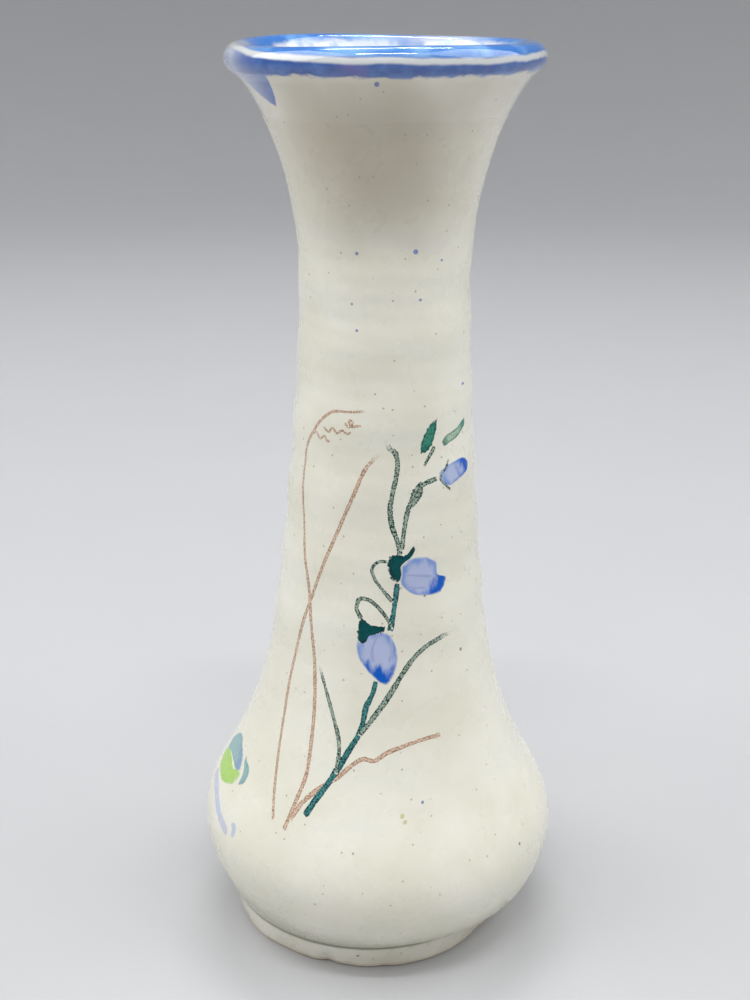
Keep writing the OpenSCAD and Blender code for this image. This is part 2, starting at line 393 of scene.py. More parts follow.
def cream(shader):
    """The cream glaze's colour.

    It is the same at the same place on every piece, so that the edges of the films sit in it unseen.
    """
    cloud = shader.rise(shader.noise(16, 3), 0.35, 0.65)
    colour = shader.mix(cloud, CREAM, CREAM_DEEP)
    streak = shader.rise(shader.noise(9, 3, (0.35, 0.35, 1.6), 0.3), 0.5, 0.75)
    colour = shader.mix(shader.times(streak, 0.4), colour, CREAM_COOL)
    # Under the lip the glaze is darkened with painted shade, most of all at the front
    up = shader.axis_mm(2)
    flare_shade = shader.times(shader.rise(up, 140, 166), shader.rise(shader.noise(24, 3, shift=0.6), 0.25, 0.7))
    colour = shader.mix(shader.times(flare_shade, 0.6), colour, CREAM_FLARE_SHADE)
    # The front part of the painted shade: near the middle, at the front, high on the flare
    middle = shader.rise(shader.math("ABSOLUTE", shader.axis_mm(0)), 19, 3)
    front = shader.times(middle, shader.rise(shader.axis(1), 0, -8 * MM))
    high = shader.times(shader.rise(up, 136, 160), shader.rise(up, 178, 168))
    colour = shader.mix(shader.times(shader.times(front, high), 0.5), colour, CREAM_FRONT_SHADE)
    freckle = shader.times(shader.spots(1.9, 0.20, 0.30), 0.75)
    colour = shader.mix(freckle, colour, FRECKLE)
    dark = shader.times(shader.spots(7.0, 0.34, 0.35), 0.85)
    return shader.mix(dark, colour, IRON_SPOT)


def glossy(shader, colour, rough=GLOSS, coat=0.0, specular=0.5):
    """The fired gloss that glaze and colours share: a soft orange-peel relief and a varying roughness."""
    peel = shader.plus(shader.noise(5, 2), shader.times(shader.noise(1.3, 2), 0.12))
    roughness = shader.node("ShaderNodeMapRange", Value=shader.noise(6, 3, shift=0.7))
    roughness.inputs["To Min"].default_value = rough[0]
    roughness.inputs["To Max"].default_value = rough[1]
    return shader.finish(colour, roughness.outputs[0], peel, 0.10, coat, specular)


def cream_glaze():
    """The cream glaze. At the foot it gathers and pools in the crease, where painted shade darkens it, and
    thins at the edge.
    """
    shader = Shader("cream_glaze")
    colour = cream(shader)
    up = shader.axis_mm(2)
    # Painted shade: darker over the low belly, and darkest in the crease, where glaze also pools
    gathered_and_shaded = shader.times(shader.rise(up, 4.9, 5.7), shader.rise(up, 15, 6.5))
    colour = shader.mix(shader.times(gathered_and_shaded, 0.65), colour, CREAM_GATHERED_SHADED)
    pooled = shader.times(shader.rise(up, 5.2, 5.8), shader.rise(up, 7.6, 6.2))
    colour = shader.mix(shader.times(pooled, 0.8), colour, CREAM_POOLED_SHADOW)
    thin = shader.times(shader.rise(up, 4.2, 1.8), shader.rise(shader.noise(7, 3), 0.35, 0.6))
    colour = shader.mix(shader.times(thin, 0.35), colour, CREAM_THIN)
    return glossy(shader, colour)


CLAY_DARK, CLAY_LIGHT, GROG = (0.68, 0.60, 0.48), (0.77, 0.70, 0.58), (0.30, 0.20, 0.13)


def bare_clay():
    """Unglazed clay, which shows under the foot: matt, grainy, and flecked with grog."""
    shader = Shader("bare_clay")
    grain = shader.noise(0.5, 4)
    colour = shader.mix(shader.rise(shader.noise(5, 3), 0.3, 0.7), CLAY_DARK, CLAY_LIGHT)
    colour = shader.mix(shader.times(shader.spots(1.5, 0.2, 0.3), 0.6), colour, GROG)
    return shader.finish(colour, shader.plus(0.7, shader.times(grain, 0.2)), grain, 0.12)


# Blue on the outside of the lip, on its top, where it ran thin, and the glaze that shows through it
BAND_DEEP, BAND_PALE, BAND_VIOLET = (0.018, 0.085, 0.34), (0.06, 0.16, 0.46), (0.10, 0.11, 0.38)
TOP_DEEP, TOP_PALE, MILKY_BLUE = (0.025, 0.17, 0.56), (0.18, 0.40, 0.76), (0.64, 0.66, 0.74)
# The white of the lip's inside, and a white edge that is partly glaze broken thin and partly a painted
# highlight
WHITE_INSIDE, WHITE_EDGE_AND_HIGHLIGHT = (0.74, 0.76, 0.80), (0.72, 0.73, 0.70)
# Lower edge of the blue band, in mm below the lip's outermost edge, from where it starts to where it is full
BAND_STARTS, BAND_FULL = 2.1, 1.4


def blue_band():
    """Blue brushed over the lip.

    The lip layer is the angle round the lip's section, with 0 outermost and 1 innermost. The pale layer is
    where the blue is milky, and the drip layer how far it ran down in mm.
    """
    shader = Shader("blue_band")
    lip = shader.layer("lip")
    brushed = shader.noise(7, 3, (1, 1, 0.25))
    patchy = shader.noise(3, 4, (1, 1, 1.5), 0.5)
    band = shader.mix(shader.rise(patchy, 0.35, 0.7), BAND_DEEP, BAND_PALE)
    band = shader.mix(shader.rise(brushed, 0.55, 0.75), band, BAND_VIOLET)
    top = shader.mix(shader.rise(brushed, 0.4, 0.7), TOP_DEEP, TOP_PALE)
    blue = shader.mix(shader.rise(lip, 0.02, 0.12), band, top)
    milky = shader.times(shader.layer("pale"), shader.rise(patchy, 0.85, 0.40))
    blue = shader.mix(shader.math("MINIMUM", milky, 0.92), blue, MILKY_BLUE)
    # The band's lower edge is ragged, and inside the lip the blue ends in runs
    ragged = shader.plus(shader.axis_mm(2), shader.about_zero(patchy, 2.0))
    ragged = shader.plus(ragged, shader.layer("drip"))
    outside = shader.rise(ragged, EDGE_Z / MM - BAND_STARTS, EDGE_Z / MM - BAND_FULL)
    inside = shader.rise(shader.plus(lip, shader.times(patchy, 0.25)), 0.86, 0.64)
    runs = shader.times(shader.rise(shader.noise(6, 2, (1, 1, 0.4), 0.8), 0.48, 0.62), 0.75)
    cover = shader.times(outside, shader.math("MAXIMUM", inside, shader.math("MAXIMUM", runs, 0.15)))
    glaze = shader.mix(shader.rise(lip, 0.52, 0.66), cream(shader), WHITE_INSIDE)
    colour = shader.mix(shader.times(cover, 0.97), glaze, blue)
    # Colour breaks to white along the lip's outermost edge, and a painted highlight lies along it too
    along_edge = shader.plus(lip, shader.about_zero(brushed, 0.12))
    broken_and_highlight = shader.times(shader.rise(along_edge, -0.075, -0.01), shader.rise(along_edge, 0.10, 0.04))
    colour = shader.mix(shader.times(broken_and_highlight, 0.9), colour, WHITE_EDGE_AND_HIGHLIGHT)
    return glossy(shader, colour, LIP_GLOSS, coat=0.6)


# Films of colour shine less than the glaze, so that dark colours stay deep
PENCIL_SPECULAR, WASH_SPECULAR = 0.25, 0.15


def pencil(name, dark, light, density):
    """A ceramic pencil line: grains of colour, dense at its sides and open along its middle.

    The edge layer is 0 at the line's side and 1 in its middle, and the end layer is 0 where it fades out.
    """
    shader = Shader(name)
    edge = shader.layer("edge")
    grain = shader.noise(0.30, 3)
    skip = shader.noise(1.8, 2, shift=0.2)
    side = shader.rise(edge, 0.75, 0.30)
    load = shader.plus(grain, shader.times(side, 0.09))
    ink = shader.mix(shader.rise(load, 0.50, 0.58), light, dark)
    wear = shader.plus(shader.times(grain, 0.8), shader.times(skip, 0.5))
    wear = shader.plus(wear, shader.times(side, 0.12))
    cover = shader.rise(wear, 1.0 - density, 1.22 - density)
    ragged = shader.plus(edge, shader.about_zero(grain, 0.7))
    cover = shader.times(cover, shader.rise(ragged, 0.06, 0.24))
    faded = shader.plus(shader.layer("end"), shader.about_zero(grain, 0.8))
    cover = shader.times(cover, shader.rise(faded, 0.1, 0.75))
    return glossy(shader, shader.mix(cover, cream(shader), ink), specular=PENCIL_SPECULAR)


def wash(name, pale, deep, tip, strength=1.0, rag=0.30, outline=0.45, grain_mm=1.3, speckle=0.0):
    """Brushed colour: pale in the middle, deep where it pooled at the edge, and darkest at the tip.

    The edge layer is 0 at the shape's edge, and the along layer 1 at its tip.
    """
    shader = Shader(name)
    edge = shader.layer("edge")
    ragged = shader.plus(edge, shader.about_zero(shader.noise(grain_mm, 4), rag))
    bloom = shader.math("SUBTRACT", shader.noise(2.6, 3, (1.6, 1.6, 0.6), 0.9), 0.5)
    inward = shader.plus(edge, shader.times(bloom, 0.9))
    colour = shader.mix(shader.rise(inward, outline, 0.02), pale, deep)
    ending = shader.plus(shader.layer("along"), shader.times(bloom, 0.7))
    colour = shader.mix(shader.rise(ending, 0.66, 0.92), colour, tip)
    grains = shader.rise(shader.noise(0.4, 3, shift=0.4), 0.48, 0.62)
    colour = shader.mix(shader.times(grains, speckle), colour, deep)
    cover = shader.times(shader.rise(ragged, 0.0, 0.16), strength)
    return glossy(shader, shader.mix(cover, cream(shader), colour), specular=WASH_SPECULAR)


# ---- clay and glaze ----

# How far the blue ran down below the band, in mm, at azimuths in degrees
DRIP = (0, 100, 118, 121, 130, 270, 286, 308, 314, 360), (0, 0, 1.6, 2.4, 0, 0, 0.8, 5.9, 0, 0)
# Depth of the piece that carries the blue, with room for what ran down
BAND_REACH = 9.5 * MM
# The bottom of the foot ring: how deep its inside is cut and how its edges are rounded
RECESS_CUT, INNER_ROUND, OUTER_ROUND = 0.8 * MM, 0.5 * MM, 1.1 * MM
# Spacing of a piece's points, on its face and on its hidden back
FOOT_STEP, OUTSIDE_STEP, OUTSIDE_BACK_STEP = 0.3 * MM, 0.8 * MM, 2 * MM
RIM_STEP, RIM_BACK_STEP = 0.35 * MM, 1.2 * MM
LINER_STEP, LINER_BACK_STEP = 1.2 * MM, 2.5 * MM
CLAY_STEP, FOOT_RING_STEP = 2.5 * MM, 0.5 * MM


def blue_layers(loop):
    """The layers of the blue band for the points of its loop. The white edge, partly a painted highlight,
    climbs the lip at the left.
    """
    lip = np.arctan2(loop[:, 1] - EDGE_Z, loop[:, 0] - CROWN_R) / np.pi

    def round_lip(i, around):
        return lip[i] - 0.11 - 0.32 * swelling(around, -84, 33) + 0.03 * np.sin(3 * around)

    def pale(i, around):
        return 1.1 * swelling(around, -77, 15) + 0.7 * swelling(around, 150, 20)

    def drip(i, around):
        return np.interp(np.degrees(around) % 360, *DRIP)

    return {"lip": round_lip, "pale": pale, "drip": drip}


def build_vessel():
    """The foot, the clay, and the three coats of glaze over them."""
    glaze, clay, blue = cream_glaze(), bare_clay(), blue_band()
    heights = SURFACE[:, 1]
    under = inset(SURFACE, GLAZE)
    crease_at = int(np.argmax(heights >= FOOT_TOP))
    band_from = int(np.argmax(heights > EDGE_Z - BAND_REACH))
    band_to = len(heights) - 1 - int(np.argmax(heights[::-1] > EDGE_Z - BAND_REACH))

    low = resampled(SURFACE[:crease_at + 1], FOOT_STEP)
    high = resampled(SURFACE[crease_at:band_from + 1], OUTSIDE_STEP)
    back = resampled(under[:band_from + 1], OUTSIDE_BACK_STEP)[::-1]
    turned("cream_outside", np.vstack([low[:-1], high, back]), glaze, ["outer_glaze"])

    face = resampled(SURFACE[band_from:band_to + 1], RIM_STEP)
    back = resampled(under[band_from:band_to + 1], RIM_BACK_STEP)[::-1]
    loop = np.vstack([face, back])
    turned("blue_rim", loop, blue, ["rim_glaze"], blue_layers(loop))

    face = resampled(SURFACE[band_to:], LINER_STEP)
    back = resampled(under[band_to:], LINER_BACK_STEP)[::-1]
    turned("cream_inside", np.vstack([face, back]), glaze, ["liner_glaze"])

    wall = resampled(under[crease_at:], CLAY_STEP)
    base = np.array([[0, wall[0][1]]])
    turned("clay_wall", np.vstack([base, wall]), clay, ["clay_body"])

    ring = profile_points("foot_ring")
    inner_r = ring[ring[:, 1] < MM / 10][:, 0].min()
    top = wall[0]
    glaze_edge = CORNERS[0]
    section = np.array([
        [inner_r - RECESS_CUT, top[1]],
        [inner_r - RECESS_CUT, 0.9 * MM],
        [inner_r - INNER_ROUND, 0.3 * MM],
        [inner_r, 0],
        [FOOT_R - OUTER_ROUND, 0],
        [FOOT_R - 0.3 * MM, 0.4 * MM],
        glaze_edge - [0.1 * MM, 0],
        glaze_edge - [GLAZE, 0],
        top])
    turned("foot", resampled(section, FOOT_RING_STEP), clay, ["foot_ring"])


build_vessel()

# ---- films of colour on the wall ----
#
# They are drawn as seen from straight in front: mm to the right of the axis, and mm above the table.

# How deep a film's edge is sunk in the glaze, and how deep its underside lies
SINK, UNDER = 0.02 * MM, 0.10 * MM
# A drawing wider than the vase stops just short of the outline
FARTHEST_SIDE = 0.999
# Spacing in mm of the points along a stroke, and of the places where its width is drawn at random
STROKE_STEP, WOBBLE_STEP = 0.3, 1.7
WOBBLE = (0.85, 1.12)
# Places across a stroke, from one side to the other, and how steeply its film rises at the sides
ACROSS = np.linspace(-1, 1, 9)
STROKE_STEEP = 4
# Points round a patch, the sizes of its rings from the edge inwards, and how steeply its film rises
PATCH_POINTS, PATCH_STEP = 64, 0.15
PATCH_RINGS = (1.0, 0.95, 0.88, 0.78, 0.64, 0.48, 0.30, 0.12)
PATCH_STEEP = 8


def to_wall(points_mm, facing):
    """Azimuth and run on the wall of a drawing's points. The drawing faces an azimuth in degrees."""
    x, z = np.asarray(points_mm, float).T * MM
    run = np.interp(z, OUTSIDE[:, 1], OUT_RUN)
    radius = np.interp(run, OUT_RUN, OUTSIDE[:, 0])
    return np.arcsin(np.clip(x / radius, -FARTHEST_SIDE, FARTHEST_SIDE)) + math.radians(facing), run


def ring_faces(rows, columns):
    """Quads between rows of points, where each row is a closed ring."""
    return [
        (i * columns + j, i * columns + (j + 1) % columns,
         (i + 1) * columns + (j + 1) % columns, (i + 1) * columns + j)
        for i in range(rows - 1) for j in range(columns)]


def capped_faces(rows, columns):
    """The same, with a face over the first row and the last."""
    caps = [tuple(range(columns)), tuple(range((rows - 1) * columns, rows * columns))]
    return ring_faces(rows, columns) + caps


def ribbon(points_mm, widths_mm, film_mm=0.045, facing=0.0, fade_mm=(0.6, 0.6), leaf=False, seed=1, tip=1.0):
    """A stroke of colour along a smooth line, with its width and the length of its fading at both ends.

    A leaf is pointed. The colour darkens towards the end if tip is 1, and less below it.
    """
    azimuth, run = to_wall(smooth_line(points_mm, STROKE_STEP), facing)
    radius = np.interp(run, OUT_RUN, OUTSIDE[:, 0])
    flat = np.stack([azimuth * radius, run], axis=1)
    way = np.gradient(flat, axis=0)
    way /= np.linalg.norm(way, axis=1)[:, None]
    travelled = np.r_[0, np.cumsum(np.linalg.norm(np.diff(flat, axis=0), axis=1))] / MM
    length = travelled[-1]
    t = travelled / length
    from_start, from_end = travelled, length - travelled
    pointed = np.sin(np.pi * t) ** 0.8
    rounded = np.clip(0.4 + np.minimum(from_start, from_end), 0, 1) ** 0.5
    knots = np.arange(0, length + 2 * WOBBLE_STEP, WOBBLE_STEP)
    wobble = np.interp(travelled, knots, np.random.default_rng(seed).uniform(*WOBBLE, len(knots)))
    width = widths_mm[0] + (widths_mm[1] - widths_mm[0]) * t
    half = 0.5 * MM * width * (pointed if leaf else rounded) * wobble
    film = film_mm * MM * np.minimum(1, STROKE_STEEP * (1 - np.abs(ACROSS))) - SINK
    tops, unders = [], []
    for u, lift in zip(ACROSS, film):
        side_azimuth = azimuth - way[:, 1] * half * u / radius
        side_run = run + way[:, 0] * half * u
        tops.append(on_wall(side_azimuth, side_run, lift))
        unders.append(on_wall(side_azimuth, side_run, -UNDER))
    ring = np.concatenate([np.stack(tops, 1), np.stack(unders, 1)[:, ::-1]], axis=1)
    columns = ring.shape[1]
    faces = capped_faces(len(t), columns)
    ends = np.minimum(np.clip(from_start / fade_mm[0], 0, 1), np.clip(from_end / fade_mm[1], 0, 1))
    layers = {
        "edge": np.tile(np.r_[1 - np.abs(ACROSS), np.zeros(len(ACROSS))], len(t)),
        "along": np.repeat(tip * t, columns),
        "end": np.repeat(ends, columns)}
    return ring.reshape(-1, 3), faces, layers


def patch(points_mm, axis_mm, film_mm=0.05, facing=0.0):
    """A brushed shape inside a smooth closed line. The axis runs from its pale end to its tip."""
    closed = np.array([*points_mm, points_mm[0]], float)
    way_round = np.linalg.norm(np.diff(closed, axis=0), axis=1).sum()
    outline = resampled(smooth_line(closed, PATCH_STEP), way_round / PATCH_POINTS)[:-1]
    azimuth, run = to_wall(outline, facing)
    mid_azimuth, mid_run = azimuth.mean(), run.mean()
    middle = outline.mean(axis=0)
    pale_end, tip = np.array(axis_mm, float)
    way = tip - pale_end
    levels = [(1.0, -UNDER, 0.0)]
    for size in PATCH_RINGS:
        levels.append((size, film_mm * MM * min(1, PATCH_STEEP * (1 - size)) - SINK, 1 - size))
    vertices, edge, along = [], [], []
    for size, lift, inward in levels:
        ring_azimuth = mid_azimuth + size * (azimuth - mid_azimuth)
        ring_run = mid_run + size * (run - mid_run)
        vertices.extend(on_wall(ring_azimuth, ring_run, lift))
        edge.extend([inward] * len(run))
        along.extend(((middle + size * (outline - middle)) - pale_end) @ way / (way @ way))
    faces = capped_faces(len(levels), len(run))
    return vertices, faces, {"edge": edge, "along": along, "end": np.ones(len(edge))}


def film_piece(name, parts, material, node):
    """One piece of one or more ribbons and patches. It stands for a painted CAD node, if one is named."""
    vertices, faces = [], []
    layers = {"edge": [], "along": [], "end": []}
    for part_vertices, part_faces, part_layers in parts:
        start = len(vertices)
        vertices.extend(part_vertices)
        faces.extend(tuple(start + v for v in face) for face in part_faces)
        for layer, values in part_layers.items():
            layers[layer].extend(values)
    return make_piece(name, vertices, faces, material, [node] if node else (), layers)


# Each stroke below has its width at both ends, the length of its fading at both ends, and its points


def build_grasses():
    """Three brown grasses and the seeds of one, scribbled."""
    brown = pencil("brown_pencil", (0.34, 0.22, 0.15), (0.66, 0.48, 0.36), 0.64)
    lines = {
        "grass_arched": (
            (0.6, 1.1), (3, 0.6),
            [(-3, 115.6), (-6.5, 115.1), (-9.5, 114.7), (-11, 113.5), (-13, 110.4), (-14.5, 107),
             (-15.1, 102), (-15.2, 95), (-15, 88), (-14.2, 80.5), (-13.5, 73), (-12.8, 65),
             (-12.6, 60), (-13.2, 49.5), (-14.2, 43), (-16.4, 37.5), (-18.6, 32.5)]),
        "grass_slanted": (
            (0.9, 0.8), (6, 0.6),
            [(-0.3, 108), (-3, 105), (-5.6, 99), (-8.8, 91), (-11.7, 83), (-14.2, 75), (-16.6, 65),
             (-18.7, 53), (-20, 44), (-20.7, 37), (-20.8, 33.3)]),
        "grass_low": (
            (1.2, 0.9), (0.6, 1.5),
            [(-17.3, 34.5), (-15.4, 37.5), (-12, 41), (-7.6, 44.3), (-5.7, 46.1), (-2.8, 47.9),
             (-1.2, 47.6), (1.4, 49), (4.6, 50.1), (8.8, 51), (12.5, 51.2)])}
    for seed, (name, (widths, fade, points)) in enumerate(lines.items()):
        stroke = ribbon(points, widths, 0.030 + 0.005 * seed, fade_mm=fade, seed=seed)
        film_piece(name, [stroke], brown, "brown_grass")
    scribbles = [
        [(-13.3, 109.4), (-12.7, 110.2), (-11.9, 109), (-11.1, 109.8), (-10.5, 108.8), (-9.9, 109.2)],
        [(-11.3, 111.6), (-10.3, 110.7), (-9.5, 111.7), (-8.7, 110.7), (-7.7, 111.5), (-6.9, 110.9),
         (-5.9, 111.4)],
        [(-7.3, 113.2), (-6.5, 112.2), (-5.7, 113.3), (-6.4, 113.6), (-5.9, 112.4), (-5, 112.6),
         (-4, 112.8)]]
    strokes = [ribbon(points, (0.5, 0.5), 0.035, seed=9) for points in scribbles]
    film_piece("grass_seeds", strokes, brown, "brown_grass")


# The strokes that were drawn with more water
WET_STROKES = ("stem_lower", "stem_middle")


def build_stems():
    """The green stems, their curls and the leaves drawn in pencil."""
    dry = pencil("green_pencil_dry", (0.012, 0.045, 0.040), (0.32, 0.40, 0.32), 0.66)
    wet = pencil("green_pencil_wet", (0.004, 0.040, 0.042), (0.06, 0.24, 0.24), 0.80)
    lines = {
        "stem_lower": (
            (1.7, 1.2), (0.5, 0.6),
            [(-14.4, 36), (-12.1, 39.5), (-9.9, 42.5), (-7.3, 46.6), (-5.7, 49.4), (-4.1, 52.1),
             (-3.2, 54.6), (-2.6, 57.6), (-1.3, 60.5), (-0.7, 63)]),
        "leaf_left": (
            (1.1, 0.7), (0.6, 4),
            [(-8.3, 44.5), (-7.8, 48), (-7.8, 50.6), (-8.7, 54.2), (-9.7, 57.6), (-10.7, 60.8),
             (-11.9, 64.7)]),
        "leaf_right": (
            (1.3, 1.2), (0.6, 5),
            [(-3.9, 52.2), (-1.9, 54.7), (0.3, 57.7), (2.2, 60.5), (4.1, 63.6), (6.3, 66.6),
             (8.5, 68.6), (11.2, 69.8), (14.1, 70.6)]),
        "stem_middle": ((1.4, 1.2), (0.6, 0.6), [(1.8, 72.6), (2.4, 76.3), (2.8, 79.4), (3.1, 82.4)]),
        "curl_lower": (
            (0.7, 1.1), (0.6, 0.6),
            [(2.3, 73.2), (1, 75.6), (-1, 77.9), (-2.6, 79), (-4.1, 79), (-4.7, 77.4), (-3.7, 75)]),
        "curl_upper": (
            (0.8, 0.8), (0.6, 0.6),
            [(1.4, 86.6), (-0.6, 86.6), (-1.8, 85.4), (-1.4, 83.4), (-0.1, 81.4), (1.2, 79.8),
             (2.3, 78.4)]),
        "stem_upper": (
            (1.2, 1.1), (0.6, 5),
            [(3.5, 87.6), (2.9, 90.5), (1.8, 93.7), (1.4, 96.8), (1.8, 100), (2.4, 103), (2.6, 106),
             (2.2, 107.6), (1.1, 108.6), (0.3, 110.6)]),
        "stem_branch": (
            (1.1, 1.1), (0.6, 0.6),
            [(3.7, 88.6), (4.1, 92), (4.5, 95), (5.1, 97.6), (6.2, 100.2), (8, 101.4), (10.2, 101.9)]),
        "bud_sepals": (
            (0.5, 0.6), (1.2, 1.2),
            [(12.3, 105.3), (11.7, 103.5), (10.7, 101.6), (11.4, 100.6), (13, 98.7)]),
        "leaf_tail": ((1.1, 0.6), (0.6, 0.8), [(9.5, 108.4), (9.2, 107.4), (8.5, 106.2), (7.5, 104.5)])}
    for seed, (name, (widths, fade, points)) in enumerate(lines.items()):
        stroke = ribbon(points, widths, 0.045 + 0.002 * seed, fade_mm=fade, seed=20 + seed)
        film_piece(name, [stroke], wet if name in WET_STROKES else dry, "green_stems")
    leaf_on_branch = ribbon([(5.4, 96.8), (6.2, 99.2), (7.2, 102)], (2.6, 2.4), 0.05, leaf=True, seed=33)
    film_piece("leaf_on_branch", [leaf_on_branch], dry, "green_stems")


def build_flowers():
    """The blue bells and their bud, each with its pale end and its tip, and the teal calyxes and leaves."""
    teal = wash(
        "teal_colour", (0.000, 0.075, 0.078), (0.000, 0.035, 0.040), (0.000, 0.065, 0.07),
        rag=0.7, grain_mm=0.6, speckle=0.6)
    leaf_green = wash(
        "leaf_green", (0.05, 0.26, 0.18), (0.006, 0.08, 0.07), (0.006, 0.08, 0.08),
        rag=0.7, outline=0.6, grain_mm=0.6, speckle=0.8)
    leaf_pale = wash(
        "leaf_pale", (0.42, 0.56, 0.40), (0.05, 0.16, 0.13), (0.05, 0.27, 0.20),
        rag=0.3, outline=0.6, grain_mm=0.6, speckle=0.5)
    blue = wash("blue_colour", (0.43, 0.49, 0.69), (0.17, 0.28, 0.62), (0.004, 0.10, 0.50), rag=0.2)
    fold_blue = wash("fold_blue", (0.36, 0.40, 0.62), (0.40, 0.45, 0.67), (0.17, 0.25, 0.60), rag=0.2)
    bells = {
        "bell_lower": (
            [(-4.5, 72.1), (-4.8, 69.8), (-4.5, 67.6), (-3.5, 65.7), (-2, 64), (-0.3, 62.5),
             (1.2, 61.7), (2.3, 62.6), (3.1, 64.5), (3.6, 67.1), (3.2, 69.7), (2, 72.2), (0.6, 73.1),
             (-2.5, 72.8)],
            [(1.2, 73), (-0.6, 63)]),
        "bell_upper": (
            [(3.5, 85.7), (5.1, 87), (7, 87.3), (9.1, 86.8), (10.6, 85.4), (11, 82.9), (12.8, 81.6),
             (12.5, 80.1), (11.6, 78.9), (9.5, 78.8), (6, 79.6), (3.8, 81.4)],
            [(3.8, 85), (12.2, 80.6)]),
        "bud": (
            [(10.1, 102.9), (11.7, 103.9), (13.5, 104.4), (15.3, 104.3), (16.1, 103.1), (16, 101.1),
             (14.4, 100.4), (12.2, 99.7), (11.2, 100.3), (10.5, 101.6)],
            [(10, 101), (15.4, 102.7)])}
    folds = {
        "bell_lower": [
            [(-0.1, 72.6), (-1, 71), (-1.6, 68.6), (-1.3, 66.6)],
            [(1.8, 71.6), (2.3, 69.2), (1.8, 66.6)]],
        "bell_upper": [[(4.4, 83.9), (7, 83.4), (9.6, 82.8)], [(4.8, 81.5), (6.8, 80.9), (8.6, 80.7)]],
        "bud": []}
    for name, (points, axis) in bells.items():
        film_piece(name, [patch(points, axis)], blue, "blue_petals")
        strokes = [
            ribbon(fold, (0.5, 0.9), 0.068, fade_mm=(1.5, 1.5), seed=60, tip=0.3)
            for fold in folds[name]]
        if strokes:
            film_piece(name + "_folds", strokes, fold_blue, "blue_petals")
    calyxes = {
        "calyx_lower": (
            [(-4, 75.7), (-3, 75), (-2, 74.1), (-0.7, 73.9), (1, 73.7), (0.7, 72.6), (-0.9, 72.1),
             (-2.2, 71.7), (-2.8, 70.3), (-3.9, 69.9), (-4.6, 72.3)],
            [(-3, 75), (-3, 67)]),
        "calyx_upper": (
            [(0.9, 86.6), (1.5, 87.9), (2.9, 88.2), (4.2, 87.8), (5.4, 88.3), (6.1, 89.5),
             (6.4, 88.8), (5.7, 87.3), (4.4, 86.4), (3.6, 85.4), (3.8, 83.3), (3.1, 82), (1.9, 82.8),
             (1.1, 84.8)],
            [(2, 88), (2, 78)])}
    for name, (points, axis) in calyxes.items():
        film_piece(name, [patch(points, axis, 0.065)], teal, "teal_calyxes")
    leaf_full = patch(
        [(9.9, 113.8), (9.8, 111.8), (9.5, 109.9), (9.1, 108.3), (8.1, 107.2), (7, 106.8),
         (6.8, 108.4), (7.3, 110.5), (8.3, 112.5)],
        [(8, 106), (9.5, 118)])
    film_piece("bud_leaf_full", [leaf_full], leaf_green, "teal_calyxes")
    leaf_hollow = patch(
        [(15.3, 112), (15.5, 110.6), (14.8, 109.4), (13.6, 108.4), (12.3, 108), (11.2, 107.6),
         (10.8, 108.6), (11.4, 109.6), (12.7, 110.1), (13.9, 110.6), (14.7, 111.5)],
        [(9.5, 107), (15.4, 111.6)])
    film_piece("bud_leaf_hollow", [leaf_hollow], leaf_pale, "teal_calyxes")


# The azimuth in degrees that the drawing of the side flower faces
SIDE = -75.0


def build_side_flower():
    """The flower on the left of the belly, which goes round out of sight of the front."""
    pale_teal = wash("pale_teal", (0.23, 0.40, 0.41), (0.14, 0.30, 0.34), (0.18, 0.30, 0.46), 0.9)
    lime = wash("lime_colour", (0.37, 0.60, 0.13), (0.31, 0.56, 0.09), (0.42, 0.60, 0.24), 0.95)
    violet = wash("violet_colour", (0.44, 0.49, 0.68), (0.34, 0.41, 0.64), (0.47, 0.49, 0.64), 0.75, rag=0.6)
    petal = patch(
        [(-9, 37), (-5, 40), (-1.8, 41.2), (2.1, 39.9), (4.6, 38.2), (5.4, 36.8), (3.9, 35.9),
         (0.8, 36.2), (-3.5, 36.2), (-9, 35)],
        [(-14, 35), (5.5, 37)], 0.045, SIDE)
    shadow = patch(
        [(4.3, 40), (5.8, 39.2), (7.5, 38.7), (8.4, 37.3), (8.3, 35.4), (6.9, 34.5), (6.7, 36.1),
         (6, 37.5), (4.8, 38.7)],
        [(5, 40), (6, 32)], 0.05, SIDE)
    film_piece("side_petal", [petal, shadow], pale_teal, "teal_calyxes")
    leaf = patch(
        [(-8.5, 35), (-3.8, 36.3), (0.3, 36), (2.8, 35.6), (5, 36.6), (6.2, 36), (6.1, 34.5), (4, 33),
         (0.5, 31.7), (-3.5, 31.5), (-7.7, 31.8), (-10, 33.2)],
        [(-20, 34), (12, 35)], 0.058, SIDE)
    film_piece("side_leaf", [leaf], lime, "lime_leaf")
    streaks = [
        [(-7, 30.2), (-4, 30), (0.3, 29.2), (3.3, 28.2), (5.8, 27.3), (8.5, 26.6), (10.7, 25.9)],
        [(11.3, 28.6), (12.3, 27.9), (12.6, 26.2)]]
    strokes = [
        ribbon(streaks[0], (2.6, 1.8), 0.045, SIDE, (1.5, 2), seed=54),
        ribbon(streaks[1], (1.6, 1.2), 0.045, SIDE, (0.8, 0.8), seed=55)]
    film_piece("side_strokes", strokes, violet, "violet_strokes")


SPOT_POINTS = 8


def spot(x, z, across):
    """A round spot, by its middle and its width in mm."""
    turn = np.linspace(0, 2 * np.pi, SPOT_POINTS, endpoint=False)
    ring = [(x + 0.5 * across * math.cos(a), z + 0.5 * across * math.sin(a)) for a in turn]
    return patch(ring, [(x, z + across), (x, z - across)], 0.04)


